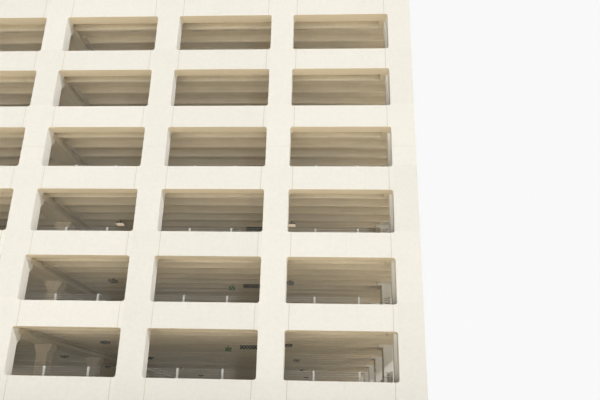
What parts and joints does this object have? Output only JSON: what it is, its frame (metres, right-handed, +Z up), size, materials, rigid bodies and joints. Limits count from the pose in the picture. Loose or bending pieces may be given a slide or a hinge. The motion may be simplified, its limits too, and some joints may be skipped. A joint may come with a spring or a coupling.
{
  "type": "multi storey car park",
  "caption": "Open-sided multi-storey car park of white precast piers and spandrels, with double-tee decks, a central column line and cable guards.",
  "frame": {"origin": "ground level under the middle of the plan", "axes": "+Z up, the pictured front faces -Y, +X to the right of the front"},
  "size_m": [36.64, 36.64, 22.51],
  "materials": {
    "precast": "off-white precast concrete, lightly textured",
    "base_precast": "off-white precast concrete, weathered",
    "deck_concrete": "grey-beige precast concrete from a steel form",
    "topping_concrete": "broom-finished concrete",
    "girder_concrete": "grey-beige precast concrete",
    "guard_metal": "galvanized and painted light grey",
    "light_housing": "dark bronze paint",
    "sign_metal": "dark paint, blank",
    "pipe": "light grey pipe"
  },
  "bodies": {
    "root": {"back_base_walls": "base_precast", "back_guard_rails": "guard_metal", "back_parapet": "precast", "back_piers": "precast", "back_spandrels": "precast", "blank_signs": "sign_metal", "ceiling_lights": "light_housing", "central_columns": "girder_concrete", "central_girders": "girder_concrete", "corner_piers": "precast", "drain_pipes": "pipe", "exit_lights": "sign_metal", "front_base_walls": "base_precast", "front_guard_rails": "guard_metal", "front_parapet": "precast", "front_piers": "precast", "front_spandrels": "precast", "left_base_walls": "base_precast", "left_guard_rails": "guard_metal", "left_parapet": "precast", "left_piers": "precast", "left_spandrels": "precast", "level_1_double_tees": "deck_concrete", "level_1_topping": "topping_concrete", "level_2_double_tees": "deck_concrete", "level_2_topping": "topping_concrete", "level_3_double_tees": "deck_concrete", "level_3_topping": "topping_concrete", "level_4_double_tees": "deck_concrete", "level_4_topping": "topping_concrete", "level_5_double_tees": "deck_concrete", "level_5_topping": "topping_concrete", "level_6_double_tees": "deck_concrete", "level_6_topping": "topping_concrete", "right_base_walls": "base_precast", "right_guard_rails": "guard_metal", "right_parapet": "precast", "right_piers": "precast", "right_spandrels": "precast", "roof_double_tees": "deck_concrete", "roof_topping": "topping_concrete"}
  },
  "joints": []
}
